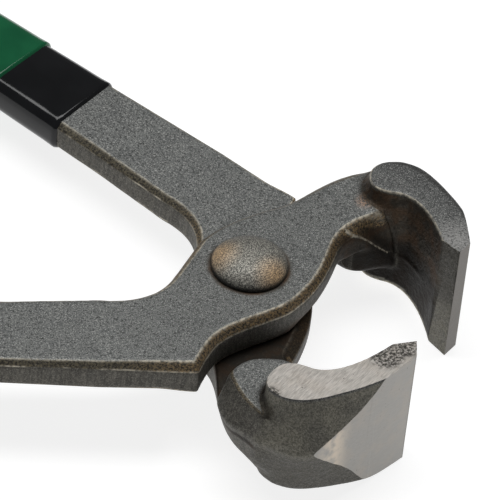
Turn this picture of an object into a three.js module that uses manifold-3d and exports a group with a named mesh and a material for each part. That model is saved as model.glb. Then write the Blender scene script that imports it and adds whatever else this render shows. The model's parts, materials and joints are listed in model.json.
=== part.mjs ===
// Hoof nipper: a farrier's cutting pliers with two forged halves on one rivet pivot.
// Millimetres, +X towards the jaws, +Z up along the rivet, resting on the side faces of the jaws.
// Each half is drawn closed, with the pivot at (0, 0) and its own half of the lap joint above z = 0,
// and is then turned about the pivot to the half-open resting pose.

import * as THREE from 'three';
import { mergeVertices } from 'three/addons/utils/BufferGeometryUtils.js';
import Module from 'manifold-3d';

const wasm = await Module();
wasm.setup();

// ---------------------------------------------------------------- driving dimensions

const openHalfAngle = 19.75;      // degrees that each half stands open from closed
const plateThickness = 8.8;       // one half of the lap joint, and the handle
const gap = 0.3;                  // clearance kept between touching pieces
const edgeRound = 1.8;            // forged edge, across the face
const edgeDrop = 2.2;             // forged edge, down the wall
const edgeSegments = 2;           // flats that each forged edge is made of

const tipRadius = 48.7;           // pivot to cutting edge
const jawWidth = 33.4;            // length of the cutting edge, along the rivet axis
const hornSlope = 0.085;          // fall of the ground side faces away from the cutting edge
const hornFall = new THREE.Vector3(-0.47, 0.88, 0);
const crownHeight = 4;            // how far the jaw's back bulges between its side faces
const grindCentre = [-79.7, -1.6];
const grindRadius = 131.3;        // curve of the ground face outside the cutting edge
const recessRadius = 30;          // clearance that the other half's boss turns in
const shoulderEnd = 18.5;         // where the thick neck ends, towards the handle

const handleStart = -35;          // where the handle leaves the joint
const handleEnd = -300;
const handleOffset = 24.3;        // handle centre line from the tool's axis at its start
const handleSplay = 0.0424;       // slope of the handle away from the axis
const endOffset = 30;             // handle centre line from the axis at its end
const handleHalfEnd = 8;          // half width that the taper runs out to
const handleHalfGain = 3.5;       // extra half width at the start
const handleTaperLength = 70;

const rivetShankRadius = 5.5;
const rivetHoleClearance = 0.1;
const rivetHeadRadius = 9.2;
const rivetHeadHeight = 4.2;
const rivetTailRadius = 8.4;
const rivetTailHeight = 3.2;

const dipThickness = 0.8;         // one layer of plastic dip
const dipGap = 0.2;               // clearance under each layer
const blackDipStart = 70.3;       // from the pivot along the tool
const greenDipStart = 89.7;

const curveSteps = 10;            // straight pieces per drawn curve
const handleSteps = 12;
const jawLayers = 8;

// ---------------------------------------------------------------- solids

function solid(geometry) {
  const bare = geometry.index ? geometry.toNonIndexed() : geometry.clone();
  bare.deleteAttribute('normal');
  bare.deleteAttribute('uv');
  const merged = mergeVertices(bare, 1e-4);
  const vertProperties = Float32Array.from(merged.attributes.position.array);
  const triVerts = Uint32Array.from(merged.index.array);
  return new wasm.Manifold(new wasm.Mesh({ numProp: 3, vertProperties, triVerts }));
}

function extruded(shape, low, high, round, drop) {
  const geometry = new THREE.ExtrudeGeometry(shape, {
    depth: high - low - 2 * drop,
    curveSegments: curveSteps,
    bevelEnabled: true,
    bevelSize: round,
    bevelOffset: -round,
    bevelThickness: drop,
    bevelSegments: edgeSegments,
  });
  return solid(geometry.translate(0, 0, low + drop));
}

function cylinder(radius, low, high, x = 0, y = 0, sides = 48) {
  const geometry = new THREE.CylinderGeometry(radius, radius, high - low, sides);
  return solid(geometry.rotateX(Math.PI / 2).translate(x, y, (low + high) / 2));
}

function box(low, high) {
  const size = high.map((value, axis) => value - low[axis]);
  const centre = high.map((value, axis) => (value + low[axis]) / 2);
  return solid(new THREE.BoxGeometry(...size).translate(...centre));
}

function named(name, manifold, colour, roughness, metalness) {
  const { vertProperties, triVerts } = manifold.getMesh();
  const geometry = new THREE.BufferGeometry();
  geometry.setAttribute('position', new THREE.BufferAttribute(Float32Array.from(vertProperties), 3));
  geometry.setIndex(Array.from(triVerts));
  geometry.computeVertexNormals();
  const material = new THREE.MeshStandardMaterial({ color: colour, roughness, metalness });
  const mesh = new THREE.Mesh(geometry, material);
  mesh.name = name;
  return mesh;
}

// ---------------------------------------------------------------- handle

const handleMiddle = (handleStart + handleEnd) / 2;
const handleLine = new THREE.QuadraticBezierCurve(
  new THREE.Vector2(handleStart, -handleOffset),
  new THREE.Vector2(handleMiddle, -handleOffset + handleSplay * (handleMiddle - handleStart)),
  new THREE.Vector2(handleEnd, -endOffset),
);

function handleHalfWidth(x) {
  return handleHalfEnd + handleHalfGain * Math.exp((x - handleStart) / handleTaperLength);
}

// Points down one side of the handle (side +1 faces the axis), `grow` outside the bare metal.
function handleSide(side, grow, fromX) {
  const first = (fromX - handleStart) / (handleEnd - handleStart);
  const points = [];
  for (let step = 0; step <= handleSteps; step++) {
    const t = first + (1 - first) * step / handleSteps;
    const centre = handleLine.getPoint(t);
    const along = handleLine.getTangent(t);
    const reach = side * (handleHalfWidth(centre.x) + grow);
    points.push(new THREE.Vector2(centre.x + along.y * reach, centre.y - along.x * reach));
  }
  return points;
}

// Rounds the handle's end, from its outer side to its inner side.
function addHandleEnd(path, grow) {
  const outer = handleSide(-1, grow, handleEnd)[0];
  const inner = handleSide(1, grow, handleEnd)[0];
  const reach = handleEnd - handleHalfEnd - grow;
  path.bezierCurveTo(reach, outer.y, reach, inner.y, inner.x, inner.y);
}

// ---------------------------------------------------------------- forged half

// Plan outline of one half at its widest, without the jaw.
function plateOutline() {
  const path = new THREE.Shape();
  path.moveTo(-33, -12.8);
  path.bezierCurveTo(-24.5, -12.3, -20.3, -8, -17.8, -3);      // handle into the boss
  path.lineTo(-11.8, 9.1);
  path.bezierCurveTo(-8.5, 14.2, -0.5, 19, 6, 21.8);           // over the boss
  path.bezierCurveTo(13, 24.2, 19.5, 35.3, 33, 37.3);          // back of the neck
  path.lineTo(40, 28);
  path.lineTo(38, 21.5);
  path.lineTo(35.5, 19.8);
  path.bezierCurveTo(28, 17.5, 23, 13.5, 21.3, 8.6);           // throat side of the neck
  path.bezierCurveTo(19.3, 2.5, 16.8, -6, 9.8, -12.9);         // under the boss
  path.bezierCurveTo(6, -16.5, -3, -19.5, -7.5, -25);
  path.bezierCurveTo(-9.7, -27.8, -10.8, -32, -12.2, -36.4);   // notch that stops the other half
  path.lineTo(-33, -35.7);
  handleSide(-1, 0, handleStart).forEach((point) => path.lineTo(point.x, point.y));
  addHandleEnd(path, 0);
  handleSide(1, 0, handleStart).reverse().slice(1).forEach((point) => path.lineTo(point.x, point.y));
  return path;
}

// Plan outline of the jaw at its side faces, from the cutting edge round the back.
function jawOutline() {
  const path = new THREE.Shape();
  path.moveTo(tipRadius, 0);
  path.lineTo(51.5, 3.6);                                      // honed strip
  path.lineTo(52.4, 12);                                       // outside the ground face
  path.bezierCurveTo(50, 21, 42.5, 33.5, 33.5, 33.7);          // back
  path.bezierCurveTo(30, 33.7, 28.6, 31, 28.6, 27.6);          // rounded root
  path.bezierCurveTo(28.6, 24, 30.5, 21.8, 34.5, 21.8);
  path.bezierCurveTo(40.5, 21.5, 44, 10, 45.1, 4.2);           // hollow side
  return path;
}

function smooth(value, low, high) {
  return THREE.MathUtils.smoothstep(value, low, high);
}

// Bulges the back of the jaw between its two side faces.
function crown(geometry) {
  const centre = new THREE.Vector2(34, 17);
  const position = geometry.attributes.position;
  for (let index = 0; index < position.count; index++) {
    const outward = new THREE.Vector2(position.getX(index), position.getY(index)).sub(centre);
    const weight = smooth(outward.length(), 9, 14) * smooth(position.getY(index), 8, 24);
    const level = position.getZ(index) / (jawWidth / 2);
    const bulge = crownHeight * weight * (1 - level * level);
    outward.setLength(outward.length() + bulge).add(centre);
    position.setXY(index, outward.x, outward.y);
  }
  return geometry;
}

// Everything beyond one ground side face (side +1 is the upper one), on a plane that falls away
// from the cutting edge.
function beyondSideFace(side) {
  const reach = 90;
  const tiltAxis = new THREE.Vector3(0, 0, 1).cross(hornFall).normalize();
  const tilt = new THREE.Matrix4().makeRotationAxis(tiltAxis, side * Math.atan(hornSlope));
  const block = new THREE.BoxGeometry(2 * reach, 2 * reach, reach);
  block.translate(0, 0, side * reach / 2).applyMatrix4(tilt);
  return solid(block.translate(tipRadius, 0, side * jawWidth / 2));
}

function jaw() {
  const blank = new THREE.ExtrudeGeometry(jawOutline(), {
    depth: jawWidth,
    steps: jawLayers,
    curveSegments: curveSteps,
    bevelEnabled: false,
  });
  const crowned = solid(crown(blank.translate(0, 0, -jawWidth / 2)));
  const ground = cylinder(grindRadius, -jawWidth, jawWidth, ...grindCentre, 180);
  return crowned.intersect(ground).subtract(beyondSideFace(1)).subtract(beyondSideFace(-1));
}

// The thick neck: the plan outline at double thickness, outside the other half's sweep.
function neck() {
  const full = extruded(plateOutline(), -plateThickness, plateThickness, edgeRound, edgeDrop);
  const sweep = cylinder(recessRadius, -jawWidth, jawWidth, 0, 0, 96);
  const far = 400;
  const behind = box([-far, -far, -jawWidth], [shoulderEnd, far, jawWidth]);
  return full.subtract(sweep).subtract(behind);
}

function forgedHalf() {
  const plate = extruded(plateOutline(), gap / 2, plateThickness, edgeRound, edgeDrop);
  const hole = cylinder(rivetShankRadius + rivetHoleClearance, -jawWidth, jawWidth);
  return plate.add(neck()).add(jaw()).subtract(hole);
}

// ---------------------------------------------------------------- rivet and dips

function rivet() {
  const head = plateThickness + gap;
  const headTop = head + rivetHeadHeight;
  const tail = -plateThickness - gap;
  const tailTop = tail - rivetTailHeight;
  const profile = new THREE.Path();
  profile.moveTo(0, tailTop);
  profile.bezierCurveTo(rivetTailRadius * 0.6, tailTop, rivetTailRadius, tail - 2, rivetTailRadius, tail);
  profile.lineTo(rivetShankRadius, tail);
  profile.lineTo(rivetShankRadius, head);
  profile.lineTo(rivetHeadRadius, head);
  profile.bezierCurveTo(rivetHeadRadius, head + 2, rivetHeadRadius * 0.6, headTop, 0, headTop);
  return solid(new THREE.LatheGeometry(profile.getPoints(6), 48).rotateX(Math.PI / 2));
}

// The handle's shape from `fromX` to its end, `grow` outside the bare metal all round.
function grownHandle(fromX, grow) {
  const path = new THREE.Shape();
  const outer = handleSide(-1, grow, fromX);
  path.moveTo(outer[0].x, outer[0].y);
  outer.slice(1).forEach((point) => path.lineTo(point.x, point.y));
  addHandleEnd(path, grow);
  handleSide(1, grow, fromX).reverse().slice(1).forEach((point) => path.lineTo(point.x, point.y));
  return extruded(path, gap / 2 - grow, plateThickness + grow, edgeRound + grow, edgeDrop + grow);
}

// One coat of dip: a cup over the handle's end, open towards the joint.
function dipLayer(start, inside) {
  const cupDepth = 12;
  const outer = grownHandle(-start, inside + dipThickness);
  const inner = grownHandle(-start + cupDepth, inside);
  return outer.subtract(inner);
}

// ---------------------------------------------------------------- assembly

const steel = [0x6b6d6a, 0.55, 0.85];
const blackPlastic = [0x1c1d1f, 0.2, 0];
const greenPlastic = [0x10583a, 0.3, 0];

function addHalf(nipper, name) {
  const half = new THREE.Group();
  half.rotation.z = THREE.MathUtils.degToRad(openHalfAngle);
  half.add(named(`${name}_half`, forgedHalf(), ...steel));
  half.add(named(`${name}_black_dip`, dipLayer(blackDipStart, dipGap), ...blackPlastic));
  half.add(named(`${name}_green_dip`, dipLayer(greenDipStart, 2 * dipGap + dipThickness), ...greenPlastic));
  nipper.add(half);
  return half;
}

const nipper = new THREE.Group();
const upper = addHalf(nipper, 'upper');
upper.add(named('pivot_rivet', rivet(), ...steel));
const lower = addHalf(nipper, 'lower');
lower.rotation.x = Math.PI;

// The origin is under the middle of the tool, on the surface that the jaws rest on.
const bounds = new THREE.Box3().setFromObject(nipper, true);
nipper.position.set(-(bounds.min.x + bounds.max.x) / 2, 0, -bounds.min.z);

export default nipper;
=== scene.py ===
import json
import math

import bpy
import numpy as np
import openvdb
from mathutils import Matrix, Vector


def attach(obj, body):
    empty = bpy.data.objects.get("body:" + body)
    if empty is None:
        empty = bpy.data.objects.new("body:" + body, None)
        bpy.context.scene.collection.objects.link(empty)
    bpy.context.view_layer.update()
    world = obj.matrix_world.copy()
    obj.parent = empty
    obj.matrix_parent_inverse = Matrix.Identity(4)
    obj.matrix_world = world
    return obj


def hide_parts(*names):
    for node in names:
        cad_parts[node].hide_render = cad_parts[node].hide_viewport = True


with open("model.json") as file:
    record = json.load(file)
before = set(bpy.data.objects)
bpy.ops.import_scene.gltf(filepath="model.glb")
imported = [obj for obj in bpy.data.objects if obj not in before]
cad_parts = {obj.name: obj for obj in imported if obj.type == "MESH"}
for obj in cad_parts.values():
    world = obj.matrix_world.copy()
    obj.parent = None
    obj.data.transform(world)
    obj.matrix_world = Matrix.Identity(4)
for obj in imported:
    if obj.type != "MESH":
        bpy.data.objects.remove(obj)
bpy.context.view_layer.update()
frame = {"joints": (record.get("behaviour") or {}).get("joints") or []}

# A half is modelled closed and in millimetres: pivot at (0, 0), cutting edge at +x, jaw body at +y, its own
# half of the lap joint above z = 0. The lower half is the same forging turned over.

MM = 0.001
HALF_OPENING = math.radians(19.75)     # each half, from closed
GAP = 0.3                              # clearance between the two halves

PLATE = 8.8                            # thickness of one half of the lap joint
HANDLE_THICKNESS = 8.2
TIP = 48.7                             # pivot to cutting edge
JAW_TOP = 16.7                         # half the length of the cutting edge
SIDE_FALL = np.array((-0.47, 0.88)) / math.hypot(0.47, 0.88)
SIDE_SLOPE = 0.085                     # fall of the jaw's side faces along SIDE_FALL
SIDE_STOCK = 0.6                       # left on the side face that is ground later
PARTING = -2.5                         # level of the ridge where the two forging dies met
SEAM = 0.4                             # height of the seam that runs from the throat into the jaw's inside
BEVEL = (42.6, 7.12)                   # the inner bevel runs from the cutting edge towards this point
STRIP = (51.5, 3.6)                    # far side of the honed strip outside the cutting edge
GRIND_CENTRE = (-79.7, -1.6)           # axis of the cylinder that the outer ground face lies on
GRIND_RADIUS = 131.3
ON_SURFACE = 0.006                     # a vertex this near a ground surface lies on it
RECESS_RADIUS = 30.0                   # of the recess for the other half's plate
SHOULDER_END = 18.6                    # x where the neck begins to go down past the lap face
FULLER = 0.17                          # the jaw's unground side is this much nearer the parting outline

HOLE_RADIUS = 5.6
SHANK_RADIUS = 5.5
UPPER_HEAD = (9.2, 4.2)                # radius and height
LOWER_HEAD = (8.4, 3.2)

HANDLE_START = -35.0
HANDLE_END = -300.0
HANDLE_BEND = (-24.3, -29.9, -30.0)    # y of the centre line's first, middle and last control points
HANDLE_THIN = 8.0                      # half width far back
HANDLE_FLARE = 3.6                     # extra half width at the handle's start
FLARE_LENGTH = 90.0
FORGING_END = -112.0                   # the forging stops here, inside the plastic

BLACK_START = -70.3
BLACK_COAT = 0.75                      # thickness over the bare handle
GREEN_START = -89.7
GREEN_COAT = 1.35                      # thickness over the bare handle, so the black coat is inside it
DIP_TAIL = 26.0                        # length over which a coat closes round the handle's end
DIP_RIM = (0, 0.02, 0.08, 0.2, 0.4, 0.7, 1.1, 1.8, 3, 5)    # a coat's first rings, behind its front

VOXEL = 0.45
ELSEWHERE = 5                          # value of an edge mark, in millimetres, where it doesn't apply


# ---------------------------------------------------------------- plane curves

def bezier(a, b, c, d, steps=14):
    """Points of a cubic Bezier curve, without its start."""
    t = np.linspace(0, 1, steps + 1)[1:, None]
    a, b, c, d = map(np.array, (a, b, c, d))
    return (1 - t) ** 3 * a + 3 * t * (1 - t) ** 2 * b + 3 * t * t * (1 - t) * c + t ** 3 * d


def outline(start, *strokes):
    """A closed outline: a stroke is one point for a line, or three for a Bezier curve."""
    points = [np.array([start], float)]
    for stroke in strokes:
        here = points[-1][-1]
        if len(stroke) == 3:
            points.append(bezier(here, *stroke))
        else:
            points.append(np.array([stroke], float).reshape(-1, 2))
    return np.concatenate(points)


def smoothstep(value, low, high):
    """0 up to low, 1 from high, and an S-curve between them."""
    t = np.clip((value - low) / (high - low), 0, 1)
    return t * t * (3 - 2 * t)


def handle_centre(x):
    """y of the handle's centre line, and its slope."""
    first, middle, last = HANDLE_BEND
    t = (HANDLE_START - x) / (HANDLE_START - HANDLE_END)
    y = first * (1 - t) ** 2 + 2 * middle * t * (1 - t) + last * t * t
    slope = (2 * (1 - t) * (middle - first) + 2 * t * (last - middle)) / (HANDLE_END - HANDLE_START)
    return y, slope


def handle_half_width(x):
    return HANDLE_THIN + HANDLE_FLARE * np.exp((x - HANDLE_START) / FLARE_LENGTH)


def handle_edge(side, xs):
    """Points along one edge of the handle; side is -1 or 1."""
    y, _ = handle_centre(xs)
    return np.column_stack((xs, y + side * handle_half_width(xs)))


def plate_outline(*heel):
    """One half of the lap joint with its handle; heel is the back of the neck, from the boss to the jaw."""
    far = np.linspace(HANDLE_START, FORGING_END, 12)
    front = outline(
        (-33, -12.8),
        ((-24.5, -12.3), (-20.3, -8), (-17.8, -3)),
        (-11.8, 9.1),
        ((-8.5, 14.4), (-0.5, 19.3), (6, 22.1)),
        *heel,
        (40, 28),
        (38, 21.5),
        (35.5, 19.8),
        ((28, 17.5), (23, 13.5), (21.3, 8.6)),
        ((19.3, 2.5), (16.8, -6), (9.8, -12.9)),
        ((6, -16.5), (-3, -19.5), (-7.5, -25)),
        ((-9.5, -27.8), (-10.9, -31.4), (-12.1, -34.9)),
        (-33, -35.8),
    )
    return np.concatenate((front, handle_edge(-1, far), handle_edge(1, far[::-1])))


def plate_at_faces():
    return plate_outline(((13, 24.6), (19.5, 35.5), (33, 37.3)))


def plate_at_parting():
    return plate_outline(((13, 24.6), (17.5, 38.7), (26.5, 39.7)), (34.5, 39.2))


def jaw_outline(*back):
    """The jaw, with stock left in front for grinding; back is its outside, from the tip to the root."""
    return outline(
        (49.2, -2.5),
        (54, 3.6),
        *back,
        ((30, 33.8), (28.6, 31), (28.6, 28)),
        ((28.6, 24.6), (30.8, 22.8), (34.5, 22.2)),
        ((40.5, 21.2), (43.6, 12), (44.8, 4.6)),
        (46.0, 1.2),
    )


def jaw_at_faces():
    return jaw_outline(
        (52.5, 9),
        ((50.2, 16.5), (46.8, 22), (44.7, 25.4)),
        ((42.4, 29), (39.5, 33.4), (33.7, 33.8)),
    )


def jaw_at_parting():
    return jaw_outline(
        (54, 12),
        ((53, 21), (50, 29.3), (45.7, 35.7)),
        ((43.3, 38.1), (39.5, 39.3), (34, 39.4)),
    )


def signed_distance(points, polygon):
    """Distance from points (n, 2) to a closed polygon, negative inside."""
    nearest = np.full(len(points), 1e9)
    inside = np.zeros(len(points), bool)
    for a, b in zip(polygon, np.roll(polygon, -1, axis=0)):
        edge = b - a
        offset = points - a
        t = np.clip(offset @ edge / (edge @ edge), 0, 1)
        nearest = np.minimum(nearest, ((offset - t[:, None] * edge) ** 2).sum(1))
        crosses = (a[1] > points[:, 1]) != (b[1] > points[:, 1])
        if edge[1]:
            inside ^= crosses & (points[:, 0] < a[0] + (points[:, 1] - a[1]) * edge[0] / edge[1])
    return np.where(inside, -1, 1) * np.sqrt(nearest)


def line_distance(x, y, a, b):
    """Distance from the endless line through a and b."""
    return np.abs((b[0] - a[0]) * (y - a[1]) - (b[1] - a[1]) * (x - a[0])) / math.dist(a, b)


def plan_distances(points):
    """Distance to each outline; a body's outline at its faces and the one at the parting line differ."""
    outlines = {
        "plate": plate_at_faces(),
        "plate_parting": plate_at_parting(),
        "jaw": jaw_at_faces(),
        "jaw_parting": jaw_at_parting(),
    }
    return {name: signed_distance(points, polygon) for name, polygon in outlines.items()}


# ---------------------------------------------------------------- solids as distance fields

def join(a, b, blend):
    """Union of two distance fields, with a fillet."""
    h = np.maximum(blend - np.abs(a - b), 0) / blend
    return np.minimum(a, b) - h * h * blend / 4


def cut(a, b, blend):
    """Intersection of two distance fields, with a rounded edge."""
    return -join(-a, -b, blend)


def chamfered(side, cap, inset, drop, blend=0.6):
    """A wall and a flat cap with the edge between them cut back by inset on the cap and drop on the wall."""
    slant = ((side + inset) * drop + cap * inset) / np.hypot(inset, drop)
    return cut(cut(side, slant, blend), cap, blend)


def plate_top(x):
    """Level of the plate's outer face, which is a little lower on the handle than at the joint."""
    return PLATE - (PLATE - HANDLE_THICKNESS) * (1 - smoothstep(x, -60, -28))


def seam_level(x):
    """Level of the seam that leaves the arm's upper edge in the throat and sinks towards the jaw."""
    return 8.6 - 13 * smoothstep(x, 21, 38.5)


def above_neck_line(x, y):
    """How far y is above the sloping line between the throat side and the heel side of the neck."""
    return y - 0.73 * x


def top_edge(x, y):
    """Inset and drop of the plate's upper edge: fine on the handle, wide round the joint, down to the seam
    in the throat."""
    joint_side = smoothstep(x, -45, -12)
    throat = 1 - smoothstep(above_neck_line(x, y), 0, 5)
    inset = 1.15 + 0.55 * joint_side + 1.1 * throat * smoothstep(x, 16, 26)
    drop = 1.5 + 0.7 * joint_side
    return inset, drop + throat * np.maximum(PLATE - seam_level(x) - drop, 0) * (x > 21)


def lap_edge(x, y):
    """Inset and drop at the lap face: nearly sharp in the joint, broken on the handle, wide in the
    throat."""
    handle = 1 - smoothstep(x, -22, -12)
    throat = smoothstep(x, 8, 13) * smoothstep(y, -16, -8) * (1 - smoothstep(y, 9, 15))
    return 0.35 + 1.0 * handle + 2.4 * throat, 0.35 + 1.1 * handle + 1.5 * throat


def side_fall(x, y):
    """How far the jaw's side faces have fallen towards the parting line at (x, y)."""
    return SIDE_SLOPE * ((x - TIP) * SIDE_FALL[0] + y * SIDE_FALL[1])


def draft(z, face):
    """Nearly 0 at the faces z = -face and z = face, 1 at the parting line, with a rounded ridge there."""
    level = np.abs(z - PARTING) / (face - np.sign(z - PARTING) * PARTING)
    return np.clip(1.04 - np.sqrt(level ** 2 + 0.0016), 0, 1)


def wall_distance(plan, body, at_parting):
    """Distance to a body's wall, between its outline at the faces (0) and at the parting line (1)."""
    return plan[body] * (1 - at_parting) + plan[body + "_parting"] * at_parting


def neck_distance(x, y, z, wall, top):
    """The thick neck, which goes down past the lap face beyond the recess for the other half's plate."""
    behind = cut(RECESS_RADIUS - np.hypot(x, y), SHOULDER_END - x, 4.0)
    throat = 1 - smoothstep(y, 17, 25)
    low_edge = 0.35 + 1.7 * throat
    neck = chamfered(cut(wall, behind, 1.0 + 4.0 * throat), -PLATE - z, low_edge, low_edge)
    return np.maximum(np.maximum(neck, top), z - PLATE / 2)


def plate_distance(x, y, z, plan):
    """The handle, its half of the lap joint, and the neck."""
    wall = wall_distance(plan, "plate", draft(z, PLATE))
    top = chamfered(wall, z - plate_top(x), *top_edge(x, y))
    lap = chamfered(wall, GAP / 2 - z, *lap_edge(x, y), blend=0.3)
    return np.minimum(np.maximum(top, lap), neck_distance(x, y, z, wall, top))


def jaw_distance(x, y, z, plan):
    """The jaw, before its faces are ground."""
    fall = side_fall(x, y)
    fuller = FULLER * (z > PARTING)
    at_parting = fuller + (1 - fuller) * draft(z, JAW_TOP - fall)
    seam = SEAM * np.exp(-((z - seam_level(x)) / 0.6) ** 2) * smoothstep(y, 12, 16) * (x < 44)
    wall = wall_distance(plan, "jaw", at_parting) - seam
    stock = SIDE_STOCK * (z < 0)
    return cut(wall, np.abs(z) - (JAW_TOP + stock - fall), 1.1)


def plate_and_jaw(x, y, z, plan):
    """Distances to the two bodies of the forging. x, y and z broadcast; plan comes from plan_distances."""
    return plate_distance(x, y, z, plan), jaw_distance(x, y, z, plan)


def foot_fillet(z):
    """Blend at the foot of the jaw: wide on the plate, tight on the shoulder."""
    return 2.2 + 2.0 * smoothstep(z, -4, 4)


def zero_surface(field, corner):
    """Vertices and quads where a distance field is 0; its grid starts at corner.

    The reversed quads face inwards, so the forging's mesh is inside out."""
    band = 3 * VOXEL
    grid = openvdb.FloatGrid(background=band)
    grid.copyFromArray(np.clip(field, -band, band).astype(np.float32))
    grid.transform = openvdb.createLinearTransform(voxelSize=VOXEL)
    points, _, quads = grid.convertToPolygons(isovalue=0, adaptivity=0)
    return points + np.array(corner), quads[:, ::-1]


def forging_surface():
    """Vertices and quads of the rough forging, in millimetres."""
    low, high = (FORGING_END - 3, -42, -20), (58, 42, 20)
    xs, ys, zs = (np.arange(a, b, VOXEL) for a, b in zip(low, high))
    places = np.stack(np.meshgrid(xs, ys, indexing="ij"), -1).reshape(-1, 2)
    plan = {name: d.reshape(len(xs), len(ys)) for name, d in plan_distances(places).items()}
    x, y = xs[:, None], ys[None, :]
    layers = [join(*plate_and_jaw(x, y, z, plan), foot_fillet(z)) for z in zs]
    return zero_surface(np.stack(layers, -1), low)


# ---------------------------------------------------------------- noise

def lattice_noise(points, size, seed):
    """Smooth noise in -1..1 with features of about size, at points (n, 3)."""
    count, offset = 32, 1000.0
    table = np.random.default_rng(seed).uniform(-1, 1, (count, count, count))
    place = points / size + offset
    cell = np.floor(place).astype(int)
    t = place - cell
    t = t * t * (3 - 2 * t)
    total = np.zeros(len(points))
    for corner in np.ndindex(2, 2, 2):
        weight = np.prod(np.where(corner, t, 1 - t), axis=1)
        i, j, k = ((cell + corner) % count).T
        total += weight * table[i, j, k]
    return total


def unevenness(points, *layers):
    """Sum of noise layers, each given as (height, size, seed)."""
    return sum(height * lattice_noise(points, size, seed) for height, size, seed in layers)


# ---------------------------------------------------------------- mesh helpers

def mesh_object(name, points, faces):
    """A new object in the scene, from points in millimetres."""
    mesh = bpy.data.meshes.new(name)
    mesh.from_pydata((np.asarray(points) * MM).tolist(), [], [tuple(face) for face in faces])
    mesh.validate()
    mesh.update()
    thing = bpy.data.objects.new(name, mesh)
    bpy.context.scene.collection.objects.link(thing)
    return thing


def coordinates(mesh):
    """Vertex places in millimetres, (n, 3)."""
    values = np.zeros(len(mesh.vertices) * 3, np.float32)
    mesh.vertices.foreach_get("co", values)
    return values.reshape(-1, 3).astype(float) / MM


def set_coordinates(mesh, points):
    mesh.vertices.foreach_set("co", (points * MM).astype(np.float32).ravel())
    mesh.update()


def displaced(mesh, points, height):
    """The points moved by height along the mesh's normals."""
    normals = np.array([v.vector for v in mesh.vertex_normals])
    return points + normals * height[:, None]


def tube_faces(count, layers, first=0):
    """Quads between layers of count points each; first is the index of the first point."""
    faces = []
    for start in range(first, first + (layers - 1) * count, count):
        for i in range(count):
            a, b = start + i, start + (i + 1) % count
            faces.append((a, b, b + count, a + count))
    return faces


def circle(radius, steps):
    turn = np.linspace(0, 2 * math.pi, steps, endpoint=False)
    return np.column_stack((np.cos(turn), np.sin(turn))) * radius


def prism(name, polygon, low, high):
    """A closed solid between two levels."""
    count = len(polygon)
    points = [(x, y, z) for z in (low, high) for x, y in polygon]
    caps = [tuple(range(count))[::-1], tuple(range(count, 2 * count))]
    return mesh_object(name, points, caps + tube_faces(count, 2))


def lathe(name, profile, turns=128):
    """A closed solid turned about the z axis; the profile runs from axis to axis."""
    rings = [np.column_stack((circle(radius, turns), np.full(turns, z))) for radius, z in profile[1:-1]]
    points = np.concatenate([[(0, 0, profile[0][1])], *rings, [(0, 0, profile[-1][1])]])
    faces = tube_faces(turns, len(rings), first=1)
    last = 1 + (len(rings) - 1) * turns
    for i in range(turns):
        faces.append((0, 1 + (i + 1) % turns, 1 + i))
        faces.append((len(points) - 1, last + i, last + (i + 1) % turns))
    return mesh_object(name, points, faces)


def cut_away(thing, cutter):
    """Takes the cutter off a mesh object and removes the cutter."""
    modifier = thing.modifiers.new("cut", "BOOLEAN")
    modifier.operation = "DIFFERENCE"
    modifier.solver = "MANIFOLD"
    modifier.object = cutter
    bpy.context.view_layer.update()
    evaluated = thing.evaluated_get(bpy.context.evaluated_depsgraph_get())
    mesh = bpy.data.meshes.new_from_object(evaluated)
    thing.modifiers.clear()
    thing.data = mesh
    bpy.data.objects.remove(cutter)


# ---------------------------------------------------------------- forging

CUTTER_REACH = 30                      # cutters through the whole forging run this far above and below z = 0


def roughen(mesh):
    """Uneven forged surface: low swells and shallow dents, much weaker on the lap face."""
    points = coordinates(mesh)
    height = unevenness(points, (0.10, 13, 1), (0.045, 4, 2), (0.02, 1.6, 3))
    lap_face = smoothstep(points[:, 2], -0.3, 0.4) * (1 - smoothstep(points[:, 2], 0.9, 1.6))
    set_coordinates(mesh, displaced(mesh, points, height * (1 - lap_face)))


def front_cutter():
    """What the grinder takes off the front of the jaw: flat inner bevel, honed strip and outer face."""
    angles = np.linspace(0.02, 0.37, 40)
    arc = np.column_stack((np.cos(angles), np.sin(angles))) * GRIND_RADIUS + GRIND_CENTRE
    arc = arc[arc[:, 1] > STRIP[1] + 0.2]
    bevel = np.array([BEVEL, (TIP, 0.0), STRIP])
    clear_of_jaw = np.array([(70, 50), (80, 0), (70, -20), (40, -20), (38, 3)])
    polygon = np.concatenate((bevel, arc, clear_of_jaw))[::-1]
    return prism("front_cutter", polygon, -CUTTER_REACH, CUTTER_REACH)


def side_cutter():
    """A block beyond the ground side face of the jaw."""
    across = Vector((SIDE_FALL[0], SIDE_FALL[1], 0))
    tilt = Matrix.Rotation(-math.atan(SIDE_SLOPE), 4, Vector((0, 0, 1)).cross(across))
    block = prism("side_cutter", [(-60, -60), (60, -60), (60, 60), (-60, 60)], -40, 0)
    block.data.transform(Matrix.Translation(Vector((TIP, 0, -JAW_TOP)) * MM) @ tilt)
    return block


def forging():
    """One half of the tool: the rough forging with its ground faces and rivet hole cut."""
    half = mesh_object("forging", *forging_surface())
    roughen(half.data)
    cut_away(half, front_cutter())
    cut_away(half, side_cutter())
    cut_away(half, prism("hole_cutter", circle(HOLE_RADIUS, 96), -CUTTER_REACH, CUTTER_REACH))
    half.data.materials.clear()        # the cuts leave an empty slot, which would move every material along
    return half


# ---------------------------------------------------------------- forging's surface data

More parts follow.
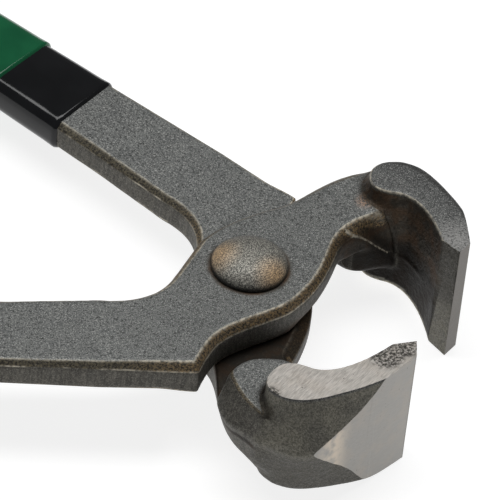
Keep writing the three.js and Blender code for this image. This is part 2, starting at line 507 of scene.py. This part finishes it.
def rim_position(x, y, z, side):
    """Across an edge of the plate: below 0 on the flat, 0 to 1 on the broken edge, above 1 down the wall."""
    top_depth = plate_top(x) - z
    in_neck = (z < -1) | ((np.hypot(x, y) > RECESS_RADIUS - 0.6) & (x > SHOULDER_END - 0.6))
    low_depth = np.where(in_neck, z + PLATE, z - GAP / 2)
    top_inset, top_drop = top_edge(x, y)
    low_inset, low_drop = lap_edge(x, y)
    on_top = (top_depth < low_depth) | (top_depth < top_drop)
    inset = np.where(on_top, top_inset, low_inset)
    drop = np.where(on_top, top_drop, low_drop)
    depth = np.maximum(np.where(on_top, top_depth, low_depth), 0)
    return np.minimum(inset + side, 0) + np.clip(depth / drop, 0, 1) + np.maximum(depth - drop, 0)


def horn_position(x, y, z, side):
    """Across the edge round a side face of the jaw: below 0 on the face, above 0 down the wall."""
    return np.minimum(side, 0) + np.maximum(JAW_TOP - side_fall(x, y) - np.abs(z), 0)


def outside_middle(x, y):
    """Distance from the curve half-way between the jaw's inner and outer walls, positive outside it."""
    return x - 49.5 + 0.024 * np.maximum(y - 5, 0) ** 2


def hollow_masks(x, y, z, side, horn, crease, on_jaw):
    """0 to 1 for each place painted darker as shade, with some dark scale; crease is 0 where plate and jaw
    meet.
    """
    radius = np.hypot(x, y)
    on_plate = 1 - on_jaw
    jaw_inside = on_jaw * (1 - smoothstep(outside_middle(x, y), -2.5, 0)) * (horn > 1) * (y > 4.4)
    throat = (1 - smoothstep(above_neck_line(x, y), -3, 1)) * (side > -1.5) * on_plate
    below_seam = z < seam_level(x) - 0.5
    throat = throat * np.where(below_seam, smoothstep(x, 19, 25), smoothstep(x, 25, 30))
    lap_border = (1 - smoothstep(np.abs(z - GAP / 2), 0.3, 1.2)) * smoothstep(x, 2, 10) * on_plate
    lap_wall = 0.8 * (1 - smoothstep(z, 1.5, 3.5)) * (z > -0.6) * smoothstep(x, 5, 10) * (y < 9) * on_plate
    recess = smoothstep(z, -9.2, -7.5) * (z < -0.6) * (1 - smoothstep(radius, RECESS_RADIUS, 32))
    jaw_foot = 0.8 * np.exp(-(crease / 1.6) ** 2) * (np.abs(z) > PLATE - 1)
    rivet_rim = np.exp(-((radius - 9.3) / 0.7) ** 2) * (np.abs(z) > PLATE - 0.6)
    return jaw_inside, throat, lap_border, lap_wall, recess, jaw_foot, rivet_rim


def mark_forging(mesh):
    """Stores on each vertex where it lies on the forging, for the material.

    jaw: 0 on the plate, 1 on the jaw.
    wear_and_sheen: where the plate's edges get worn lines and painted highlights, least on the heel side.
    inside: 1 on the jaw's inner side, 0 on its outer side.
    rim: see rim_position.
    horn: see horn_position.
    seam: distance from the seam, inside the jaw only, in millimetres.
    shade_and_scale: 0 to 1, painted shade in the hollows and creases, with some dark scale."""
    x, y, z = coordinates(mesh).T
    plan = plan_distances(np.column_stack((x, y)))
    plate, jaw = plate_and_jaw(x, y, z, plan)
    crease = plate - jaw
    on_jaw = smoothstep(crease, -1.5, 0.5)
    rim = rim_position(x, y, z, plan["plate"])
    horn = horn_position(x, y, z, plan["jaw"])
    beyond = outside_middle(x, y)
    on_bevel = (line_distance(x, y, (TIP, 0), BEVEL) < 0.05) & (y < 5)
    off_seam = (y < 13) | (x < 23) | (x > 34.5) | (beyond > -1)
    heel_side = smoothstep(above_neck_line(x, y), 3, 7) * smoothstep(y, 5, 12)
    marks = {
        "jaw": on_jaw,
        # where the edges get worn lines and painted highlights
        "wear_and_sheen": (1 - smoothstep(on_jaw, 0.02, 0.15)) * (1 - 0.85 * heel_side),
        "inside": 1 - smoothstep(beyond, -2, 2),
        "rim": rim * (1 - on_jaw) + ELSEWHERE * on_jaw,
        "horn": np.where((on_jaw < 0.5) | on_bevel, ELSEWHERE, horn),
        "seam": np.abs(z - seam_level(x)) + ELSEWHERE * off_seam,
        # painted shade in the hollows and creases, with some dark scale
        "shade_and_scale": np.maximum.reduce(hollow_masks(x, y, z, plan["plate"], horn, crease, on_jaw)),
    }
    for name, values in marks.items():
        attribute = mesh.attributes.new(name, "FLOAT", "POINT")
        attribute.data.foreach_set("value", np.asarray(values, np.float32))


def loop_values(mesh):
    """Vertex and edge of every face corner, and the first corner of every face."""
    vertex, edge = np.zeros(len(mesh.loops), int), np.zeros(len(mesh.loops), int)
    first = np.zeros(len(mesh.polygons), int)
    mesh.loops.foreach_get("vertex_index", vertex)
    mesh.loops.foreach_get("edge_index", edge)
    mesh.polygons.foreach_get("loop_start", first)
    return vertex, edge, first


def ground_surfaces(mesh):
    """For each face: 0 on the linished side, 1 on the outer face, 2 on the honed strip, -1 elsewhere."""
    x, y, z = coordinates(mesh).T
    distances = (
        np.abs(z + JAW_TOP - side_fall(x, y)),
        np.abs(np.hypot(x - GRIND_CENTRE[0], y - GRIND_CENTRE[1]) - GRIND_RADIUS) + (y < 3),
        line_distance(x, y, (TIP, 0), STRIP) + (y > 4),
    )
    vertex, _, first = loop_values(mesh)
    surface = np.full(len(mesh.polygons), -1)
    for index, distance in enumerate(distances):
        touches = np.maximum.reduceat(distance[vertex], first) < ON_SURFACE
        surface[touches & (surface < 0)] = index
    return surface


def sharpen_borders(mesh, surface):
    """Marks as sharp the edges over 45 degrees and those between two different surfaces."""
    _, edge, first = loop_values(mesh)
    beside = np.repeat(surface, np.diff(np.append(first, len(edge))))
    lowest, highest = np.full(len(mesh.edges), 9), np.full(len(mesh.edges), -9)
    np.minimum.at(lowest, edge, beside)
    np.maximum.at(highest, edge, beside)
    mesh.set_sharp_from_angle(angle=math.radians(45))
    sharp = mesh.attributes["sharp_edge"].data
    values = np.zeros(len(mesh.edges), bool)
    sharp.foreach_get("value", values)
    sharp.foreach_set("value", values | (lowest != highest))


def mark_ground(mesh):
    """Gives the linished side face and the ground front their materials, and a sharp edge all round."""
    surface = ground_surfaces(mesh)
    mesh.polygons.foreach_set("material_index", np.clip(surface + 1, 0, 2))
    mesh.polygons.foreach_set("use_smooth", np.ones(len(surface), bool))
    sharpen_borders(mesh, surface)


# ---------------------------------------------------------------- rivet

def head_profile(radius, height, base, steps=26):
    """Half a rivet head: a short rounded rim, then a shallow dome, from the rim's foot to the axis."""
    turn = np.linspace(0, math.pi / 2, steps)
    dome = np.column_stack((np.cos(turn) ** 0.75 * radius, np.sin(turn) ** 1.15 * height + base))
    return [(radius - 0.6, base), *dome]


def make_rivet():
    """Shank with two hammered heads."""
    seat = PLATE + GAP
    lower = [(r, -z) for r, z in head_profile(*LOWER_HEAD, seat)[::-1]]
    shank = [(SHANK_RADIUS, -seat), (SHANK_RADIUS, seat)]
    rivet = lathe("rivet", [*lower, *shank, *head_profile(*UPPER_HEAD, seat)])
    points = coordinates(rivet.data)
    height = unevenness(points, (0.12, 5, 11), (0.03, 1.5, 12))
    on_heads = smoothstep(np.abs(points[:, 2]), seat + 0.3, seat + 1)
    set_coordinates(rivet.data, displaced(rivet.data, points, height * on_heads))
    rivet.data.shade_smooth()
    return rivet


# ---------------------------------------------------------------- plastic dips

def rounded_section(half_width, half_height, radius, steps=7):
    """A rounded rectangle round (0, 0), anticlockwise."""
    radius = min(radius, half_width * 0.98, half_height * 0.98)
    points = []
    for corner, (sx, sy) in enumerate(((1, 1), (-1, 1), (-1, -1), (1, -1))):
        for turn in np.linspace(0, math.pi / 2, steps):
            angle = turn + corner * math.pi / 2
            points.append((sx * (half_width - radius) + radius * math.cos(angle),
                           sy * (half_height - radius) + radius * math.sin(angle)))
    return np.array(points)


def dip_ring(x, start, end, coat):
    """The coat's outline at x: full behind its thin front lip, and closing over the handle's end."""
    y, slope = handle_centre(max(x, HANDLE_END))
    behind = start - x
    lip = 0.12 * math.exp(-((behind - 1) / 1.5) ** 2)
    skin = coat * math.sqrt(min(1, (behind + 0.01) / 0.7)) + lip
    closing = max(end + DIP_TAIL - x, 0) / DIP_TAIL
    full = max(math.sqrt(max(1 - closing ** 2, 0)), 0.02)
    half_width = (handle_half_width(x) + skin) * full
    half_height = (HANDLE_THICKNESS / 2 + skin) * (0.35 + 0.65 * full ** 0.7)
    section = rounded_section(half_width, half_height, 2.9 + skin + 1.5 * (1 - full))
    across = np.array((slope, -1)) / math.hypot(slope, 1)
    middle = (GAP / 2 + HANDLE_THICKNESS) / 2 + 0.15
    return np.column_stack((np.array((x, y)) + section[:, :1] * across, middle + section[:, 1]))


def dip_skin(name, start, coat):
    """The outside of a coat, closed at the handle's end and inside its turned-in front rim. It has no inner
    wall, so it overlaps the steel and the other coat."""
    end = HANDLE_END - 8 - coat
    rim = start - np.array(DIP_RIM)
    body = np.arange(start - 8, end + DIP_TAIL, -2.5)
    tail = end + DIP_TAIL * np.cos(np.linspace(0, math.pi / 2, 22))
    rings = [dip_ring(x, start, end, coat) for x in (*rim, *body, *tail)]
    inner = rings[0] * (1, 0.97, 0.97) + rings[0].mean(0) * (0, 0.03, 0.03) - (6, 0, 0)
    count, layers = len(inner), len(rings) + 1
    faces = tube_faces(count, layers)
    faces += [tuple(range(count))[::-1], tuple(range((layers - 1) * count, layers * count))]
    return mesh_object(name, np.concatenate((inner, *rings)), faces)


def dip(name, start, coat, seed, slant=0.0):
    """One coat of plastic with a wavy front rim.

    slant is how much nearer the joint the rim is on the handle's inner side."""
    piece = dip_skin(name, start, coat)
    points = coordinates(piece.data)
    front = np.exp(-np.clip(start - points[:, 0], 0, 50) / 3.0)
    inward = (points[:, 1] - handle_centre(start)[0]) / handle_half_width(start)
    wave = 0.5 * lattice_noise(points * (0, 1, 1) + seed, 7, seed)
    points[:, 0] += front * (wave + slant * (inward + 1) / 2)
    height = 0.09 * lattice_noise(points, 16, seed + 1) * (1 - front)
    set_coordinates(piece.data, displaced(piece.data, points, height))
    piece.data.shade_smooth()
    return piece


# ---------------------------------------------------------------- materials

class Paint:
    """A material being built: nodes are made by calls that return their output sockets.

    Sizes, places and depths are given in millimetres, in the half's own frame."""

    def __init__(self, name):
        self.material = bpy.data.materials.new(name)
        self.material.use_nodes = True
        self.nodes = self.material.node_tree.nodes
        self.links = self.material.node_tree.links
        self.shader = self.nodes["Principled BSDF"]
        self.place = self.make("TexCoord").outputs["Object"]

    def make(self, kind, inputs=None, **settings):
        node = self.nodes.new("ShaderNode" + kind)
        for key, value in settings.items():
            setattr(node, key, value)
        for key, value in (inputs or {}).items():
            self.put(node.inputs[key], value)
        return node

    def put(self, socket, value):
        """Links a socket to another one, or sets its constant."""
        if isinstance(value, bpy.types.NodeSocket):
            self.links.new(value, socket)
        else:
            socket.default_value = value

    def noise(self, size, detail, roughness, stretch=None):
        """Noise of about 0..1 with features of that size; stretch lengthens it along each axis."""
        place = self.place
        if stretch:
            place = self.make("Mapping", {"Vector": place, "Scale": [1 / s for s in stretch]}).outputs[0]
        inputs = {"Vector": place, "Scale": 1 / (size * MM), "Detail": detail, "Roughness": roughness}
        return self.make("TexNoise", inputs).outputs["Fac"]

    def axis(self, name):
        """One coordinate, in metres."""
        return self.make("SeparateXYZ", {0: self.place}).outputs[name]

    def along(self, name, low, high, out_low=0.0, out_high=1.0):
        """A ramp between two places on one axis."""
        return self.range(self.axis(name), low * MM, high * MM, out_low, out_high)

    def near(self, centre, radius):
        """1 at a point, 0 beyond the radius."""
        inputs = {0: self.place, 1: [c * MM for c in centre]}
        distance = self.make("VectorMath", inputs, operation="DISTANCE").outputs["Value"]
        return self.range(distance, radius * MM, 0)

    def attribute(self, name):
        return self.make("Attribute", attribute_name=name).outputs["Fac"]

    def math(self, operation, a, b=0.0, c=0.0, clamp=False):
        return self.make("Math", {0: a, 1: b, 2: c}, operation=operation, use_clamp=clamp).outputs[0]

    def times(self, a, b, clamp=False):
        return self.math("MULTIPLY", a, b, clamp=clamp)

    def larger(self, a, b):
        return self.math("MAXIMUM", a, b)

    def range(self, value, low, high, out_low=0.0, out_high=1.0):
        """out_low where value is low, out_high where it is high, and an S-curve between them."""
        inputs = {"Value": value, "From Min": low, "From Max": high, "To Min": out_low, "To Max": out_high}
        return self.make("MapRange", inputs, interpolation_type="SMOOTHSTEP").outputs[0]

    def bump_at(self, value, centre, width):
        """1 where value is centre, falling to 0 at width away from it."""
        return self.range(self.math("ABSOLUTE", self.math("SUBTRACT", value, centre)), width, 0)

    def mix(self, amount, a, b):
        """Colour a where amount is 0, b where it is 1."""
        node = self.make("Mix", data_type="RGBA")
        self.put(node.inputs["Factor"], amount)
        self.put(node.inputs[6], a)
        self.put(node.inputs[7], b)
        return node.outputs[2]

    def bump(self, relief, strength, depth):
        inputs = {"Strength": strength, "Distance": depth * MM, "Height": relief}
        return self.make("Bump", inputs).outputs[0]

    def finish(self, **sockets):
        """Sets the shader's sockets, named like base_color, and returns the material."""
        for key, value in sockets.items():
            self.put(self.shader.inputs[key.replace("_", " ").title()], value)
        return self.material


def colour(red, green, blue):
    """A surface colour given as 0..255 sRGB."""
    values = [((v / 255 + 0.055) / 1.055) ** 2.4 if v > 10 else v / 255 / 12.92 for v in (red, green, blue)]
    return (*values, 1.0)


class ForgingPaint(Paint):
    """What the parts of the forged surface look like. The attributes are those of mark_forging."""

    def __init__(self, name):
        super().__init__(name)
        self.grain = self.noise(0.26, 2, 0.7)
        self.speck = self.noise(0.5, 3, 0.75)
        self.mottle = self.noise(5, 4, 0.6)
        self.rim = self.attribute("rim")
        self.horn = self.attribute("horn")
        self.jaw = self.attribute("jaw")
        self.inside = self.attribute("inside")
        # where the edges get worn lines and painted highlights
        self.wear_and_sheen = self.attribute("wear_and_sheen")
        # painted shade in the hollows and creases, with some dark scale
        self.shade_and_scale = self.attribute("shade_and_scale")
        self.on_wall = self.math("MINIMUM", self.range(self.rim, 0.6, 1.3), self.range(self.horn, 0.1, 0.7))
        self.joint_end = self.along("X", -35, -10)
        self.near_joint = self.times(self.joint_end, self.wear_and_sheen)

    def flat(self):
        """Finely speckled grey, darker towards the jaw and lightest at its tip."""
        tone = self.mix(self.range(self.mottle, 0.3, 0.7), colour(97, 99, 98), colour(110, 112, 110))
        tone = self.mix(self.along("X", -30, 0, 0, 0.35), tone, colour(86, 88, 86))
        horn_tone = self.mix(self.inside, colour(74, 75, 75), colour(90, 91, 90))
        horn_tone = self.mix(self.near((48.5, 4, 15.7), 12), horn_tone, colour(156, 155, 153))
        tone = self.mix(self.times(self.jaw, 0.85), tone, horn_tone)
        tone = self.mix(self.range(self.grain, 0.5, 0.66, 0, 0.75), tone, colour(190, 190, 186))
        return self.mix(self.range(self.speck, 0.52, 0.34, 0, 0.9), tone, colour(42, 43, 42))

    def wall(self):
        """Upright streaks on the plate's walls, brown scale on the jaw's, with painted shade beyond the
        parting line, where the turned-over half faces down.
        """
        streak = self.noise(0.8, 3, 0.7, stretch=(1, 1, 6))
        tone = self.mix(self.range(streak, 0.35, 0.65), colour(66, 64, 59), colour(96, 93, 86))
        scale = self.mix(self.range(self.mottle, 0.35, 0.65), colour(100, 98, 90), colour(120, 117, 106))
        # painted shade beyond the parting line
        scale = self.mix(self.along("Z", -4, 1, 0, 0.8), scale, colour(62, 60, 55))
        tone = self.mix(self.jaw, tone, scale)
        tone = self.mix(self.range(self.grain, 0.5, 0.66, 0, 0.5), tone, colour(146, 143, 134))
        return self.mix(self.range(self.speck, 0.58, 0.38, 0, 0.6), tone, colour(46, 44, 40))

    def rust_spot(self):
        """A small rusty patch on the neck, 0 to 1."""
        return self.times(self.near((28.2, 24.6, 9), 3.4), self.range(self.speck, 0.4, 0.6))

    def edge_band(self):
        """The broken edge between a flat and its wall, 0 to 1."""
        return self.times(self.range(self.rim, -0.2, 0.15), self.range(self.rim, 1.2, 0.95))

    def olive(self):
        """Old scale on the broken edge, with golden glints near the joint."""
        glint = self.mix(self.near_joint, colour(104, 94, 70), colour(150, 122, 78))
        return self.mix(self.range(self.speck, 0.42, 0.62), colour(46, 40, 30), glint)

    def scale_and_low_shade(self):
        """Brown scale, with painted shade that makes it nearly black low down."""
        tone = self.mix(self.range(self.mottle, 0.4, 0.62), colour(64, 60, 54), colour(82, 67, 54))
        tone = self.mix(self.range(self.speck, 0.55, 0.72, 0, 0.5), tone, colour(112, 104, 94))
        # painted shade, darkest low down
        return self.mix(self.along("Z", 4, -2, 0, 0.9), tone, colour(24, 22, 20))

    def outer_edge(self):
        """The dark outer edge of the jaw's side face, 0 to 1."""
        return self.times(self.bump_at(self.horn, 0.0, 0.9), self.math("SUBTRACT", 1.0, self.inside))

    def edge_highlights_and_wear(self):
        """Broken bright lines along the plate's edges, the jaw's inner edge and the seam, 0 to 1: painted
        highlights where the edges catch the light, partly worn bright metal.
        """
        top = self.times(self.bump_at(self.rim, -0.1, 0.45), self.wear_and_sheen)
        top = self.times(top, self.range(self.joint_end, 0, 1, 0.45, 1.0))
        patches = self.range(self.noise(9, 2, 0.5), 0.5, 0.6)
        low = self.times(self.bump_at(self.rim, 1.05, 0.25), self.wear_and_sheen)
        low = self.times(low, self.larger(patches, self.near_joint))
        worn = self.times(self.larger(top, low), self.range(self.shade_and_scale, 0.0, 0.8, 1.0, 0.1))
        jaw_edge = self.times(self.bump_at(self.horn, 0.1, 0.6), self.inside)
        worn = self.larger(worn, self.times(jaw_edge, 1.6, clamp=True))
        worn = self.larger(worn, self.range(self.attribute("seam"), 0.4, 0.1))
        return self.times(worn, self.range(self.noise(1.1, 3, 0.7), 0.36, 0.6, 0.15, 0.85))

    def relief(self):
        """Blasted grain everywhere, and lumps on the walls."""
        fine = self.math("ADD", self.grain, self.times(self.speck, 0.8))
        lumps = self.times(self.noise(1.4, 3, 0.65), self.math("MULTIPLY_ADD", self.jaw, 4.0, 3.0))
        return self.math("ADD", fine, self.times(lumps, self.on_wall))


def forged_steel():
    """Blasted forging: grey flats, darker streaked walls, painted shade with some dark scale in the hollows,
    worn edges with painted highlights.
    """
    paint = ForgingPaint("forged_steel")
    tone = paint.mix(paint.on_wall, paint.flat(), paint.wall())
    tone = paint.mix(paint.rust_spot(), tone, colour(160, 122, 92))
    tone = paint.mix(paint.times(paint.edge_band(), 0.8), tone, paint.olive())
    # painted shade, with some dark scale, in the hollows, creases and round the rivet
    tone = paint.mix(paint.shade_and_scale, tone, paint.scale_and_low_shade())
    tone = paint.mix(paint.times(paint.outer_edge(), 0.6), tone, colour(50, 49, 47))
    # painted highlights along the edges and the seam, partly worn bright metal
    tone = paint.mix(paint.edge_highlights_and_wear(), tone, colour(204, 196, 178))
    rough = paint.range(paint.mottle, 0.3, 0.7, 0.5, 0.62)
    metallic = paint.range(paint.shade_and_scale, 0, 1, 0.55, 0.95)
    bump = paint.bump(paint.relief(), 0.6, 0.12)
    return paint.finish(base_color=tone, metallic=metallic, roughness=rough, normal=bump)


class GroundPaint(Paint):
    """A sharpened face: fine parallel scratches, a few pits and a faint tint."""

    def __init__(self, name, dark, light):
        super().__init__(name)
        self.streak = self.noise(0.22, 3, 0.6, stretch=(1, 14, 1))
        self.cloud = self.noise(4, 3, 0.55)
        self.fleck = self.noise(0.7, 3, 0.75)
        tone = self.mix(self.range(self.streak, 0.3, 0.7), dark, light)
        self.tone = self.mix(self.range(self.cloud, 0.4, 0.65, 0, 0.12), tone, colour(180, 162, 142))
        self.pits = self.times(self.range(self.fleck, 0.34, 0.29), 0.7)

    def ground(self):
        """The finished material."""
        tone = self.mix(self.pits, self.tone, colour(62, 60, 56))
        rough = self.range(self.streak, 0.3, 0.7, 0.34, 0.46)
        bump = self.bump(self.streak, 0.3, 0.06)
        return self.finish(base_color=tone, metallic=0.85, roughness=rough, normal=bump)


def linished_steel():
    """The jaw's side face, which keeps some blasted grey at its tip and its heel."""
    paint = GroundPaint("linished_steel", colour(166, 162, 156), colour(198, 193, 186))
    tip = paint.larger(paint.near((47.8, 3.0, -16.2), 6), paint.near((46.3, 8.0, -15.8), 7))
    ends = paint.larger(tip, paint.near((33, 35, -14), 4.5))
    blasted = paint.times(paint.range(ends, 0.12, 0.6), paint.range(paint.fleck, 0.64, 0.42))
    paint.pits = paint.larger(paint.pits, blasted)
    return paint.ground()


def ground_steel():
    """The jaw's front: a light warm band painted as a reflection, and a dark honed strip at the cutting
    edge.
    """
    paint = GroundPaint("ground_steel", colour(141, 139, 135), colour(153, 151, 147))
    # painted warm reflection across the outer face
    warm_reflection = paint.bump_at(paint.axis("Y"), 28.5 * MM, 5.5 * MM)
    warm_reflection = paint.times(warm_reflection, paint.range(paint.cloud, 0.3, 0.55))
    tone = paint.mix(paint.times(warm_reflection, 0.7), paint.tone, colour(206, 192, 174))
    paint.tone = paint.mix(paint.along("Y", 4.2, 3.4, 0, 0.85), tone, colour(92, 88, 83))
    return paint.ground()


def rivet_steel():
    """Blasted rivet: coarse light and dark grain, painted warm highlights on two sides, painted shade under
    its rims and on its far side.
    """
    paint = Paint("rivet_steel")
    grain = paint.noise(0.3, 2, 0.7)
    mottle = paint.noise(3, 4, 0.6)
    tone = paint.mix(paint.range(mottle, 0.3, 0.7), colour(84, 84, 80), colour(106, 104, 98))
    # painted warm highlights on two sides of the head
    warm_highlight = paint.larger(paint.near((-8, 1, 11), 7.5), paint.near((6, -5.5, 11), 7))
    light = paint.mix(warm_highlight, colour(196, 193, 182), colour(244, 208, 160))
    tone = paint.mix(paint.times(warm_highlight, 0.45), tone, colour(196, 162, 122))
    tone = paint.mix(paint.range(grain, 0.45, 0.65, 0, 0.85), tone, light)
    tone = paint.mix(paint.range(grain, 0.46, 0.32, 0, 0.85), tone, colour(46, 44, 40))
    # painted shade under the heads' rims
    from_middle = paint.math("ABSOLUTE", paint.axis("Z"))
    shade_under_rim = paint.range(from_middle, 10.8 * MM, 9.4 * MM, 0, 0.9)
    tone = paint.mix(shade_under_rim, tone, colour(26, 24, 22))
    # painted shade on the head's far side
    tone = paint.mix(paint.along("Y", 1, 9, 0, 0.55), tone, colour(58, 56, 52))
    return paint.finish(base_color=tone, metallic=0.5, roughness=0.55, normal=paint.bump(grain, 0.5, 0.12))


def dipped_vinyl(name, base, shade, roughness):
    """Glossy plastic skin with a faint cloud and ripple."""
    paint = Paint(name)
    cloud = paint.noise(14, 3, 0.5)
    tone = paint.mix(paint.range(cloud, 0.35, 0.65), base, shade)
    ripple = paint.bump(paint.noise(6, 2, 0.5), 0.15, 0.3)
    paint.shader.inputs["Specular IOR Level"].default_value = 0.32
    return paint.finish(base_color=tone, roughness=roughness, normal=ripple)


# ---------------------------------------------------------------- assembly

joint = frame["joints"][0]
pivot = Vector(joint["pos_m"])
opened = Matrix.Rotation(HALF_OPENING, 4, "Z")
place = {
    "upper": Matrix.Translation(pivot) @ opened,
    "lower": Matrix.Translation(pivot) @ Matrix.Rotation(math.pi, 4, "X") @ opened,
}


def assemble(piece, body, node):
    """Puts a piece that was modelled in a half's frame into its place on a body."""
    piece.matrix_world = place[body]
    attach(piece, body)
    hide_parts(node)


def ground_forging():
    """The mesh that both halves share, with its materials."""
    blank = forging()
    mesh = blank.data
    mark_forging(mesh)
    for material in (forged_steel(), linished_steel(), ground_steel()):
        mesh.materials.append(material)
    mark_ground(mesh)
    bpy.data.objects.remove(blank)
    return mesh


forging_mesh = ground_forging()

rivet = make_rivet()
rivet.data.materials.append(rivet_steel())
assemble(rivet, "upper", "pivot_rivet")

black = dipped_vinyl("black_dip", colour(14, 15, 17), colour(19, 20, 22), 0.12)
green = dipped_vinyl("green_dip", colour(12, 80, 50), colour(20, 92, 58), 0.16)
for index, body in enumerate(("upper", "lower")):
    half = bpy.data.objects.new(f"{body}_forging", forging_mesh)
    bpy.context.scene.collection.objects.link(half)
    assemble(half, body, f"{body}_half")
    coat = dip(f"{body}_black_coat", BLACK_START, BLACK_COAT, 20 + index, slant=1.3 * index)
    coat.data.materials.append(black)
    assemble(coat, body, f"{body}_black_dip")
    coat = dip(f"{body}_green_coat", GREEN_START, GREEN_COAT, 30 + index)
    coat.data.materials.append(green)
    assemble(coat, body, f"{body}_green_dip")


# ---------------------------------------------------------------- stage

FLOOR_REACH = 3000
CAMERA_ELEVATION, CAMERA_AZIMUTH, CAMERA_ROLL = map(math.radians, (42.6, 13.78, 7.0))
CAMERA_DISTANCE = 1.961                # metres
CAMERA_LENS = 600
AIM = (0.941, 10.259)                  # right of and above the pivot, as the camera sees it
WHITE = (1, 1, 1, 1)


def add_floor():
    corners = [(x * FLOOR_REACH, y * FLOOR_REACH, 0) for x, y in ((-1, -1), (1, -1), (1, 1), (-1, 1))]
    floor = mesh_object("floor", corners, [(0, 1, 2, 3)])
    material = bpy.data.materials.new("floor")
    material.use_nodes = True
    shader = material.node_tree.nodes["Principled BSDF"]
    shader.inputs["Base Color"].default_value = (0.3, 0.3, 0.3, 1)
    shader.inputs["Emission Color"].default_value = WHITE
    shader.inputs["Emission Strength"].default_value = 0.82
    floor.data.materials.append(material)


def add_camera():
    """A long lens at the photograph's viewing angle."""
    across = Vector((math.cos(CAMERA_AZIMUTH), math.sin(CAMERA_AZIMUTH), 0))
    away = Vector((-math.sin(CAMERA_AZIMUTH), math.cos(CAMERA_AZIMUTH), 0))
    up = Vector((0, 0, 1))
    back = -away * math.cos(CAMERA_ELEVATION) + up * math.sin(CAMERA_ELEVATION)
    level_up = away * math.sin(CAMERA_ELEVATION) + up * math.cos(CAMERA_ELEVATION)
    right = across * math.cos(CAMERA_ROLL) + level_up * math.sin(CAMERA_ROLL)
    top = level_up * math.cos(CAMERA_ROLL) - across * math.sin(CAMERA_ROLL)
    camera = bpy.data.objects.new("camera", bpy.data.cameras.new("camera"))
    bpy.context.scene.collection.objects.link(camera)
    camera.data.sensor_width = 36
    camera.data.lens = CAMERA_LENS
    camera.data.clip_start, camera.data.clip_end = 0.1, 20
    aim = pivot + right * (AIM[0] * MM) + top * (AIM[1] * MM)
    turn = Matrix((right, top, back)).transposed().to_4x4()
    camera.matrix_world = Matrix.Translation(aim + back * CAMERA_DISTANCE) @ turn
    bpy.context.scene.camera = camera


def add_softbox(location, size, turn, power):
    """An area light that faces straight down, its long side turned from the x axis; in metres and watts."""
    light = bpy.data.objects.new("softbox", bpy.data.lights.new("softbox", "AREA"))
    bpy.context.scene.collection.objects.link(light)
    light.data.shape = "RECTANGLE"
    light.data.size, light.data.size_y = size
    light.data.energy = power
    light.location = location
    light.rotation_euler = (0, 0, math.radians(turn))


def set_world(strength):
    """Even white light from all sides."""
    world = bpy.data.worlds.new("world")
    bpy.context.scene.world = world
    world.use_nodes = True
    world.node_tree.nodes["Background"].inputs["Color"].default_value = WHITE
    world.node_tree.nodes["Background"].inputs["Strength"].default_value = strength


add_floor()
add_camera()
add_softbox((-0.05, 0.25, 1.2), (1.5, 0.5), 30, 13)
set_world(0.15)
bpy.context.scene.view_settings.view_transform = "Standard"
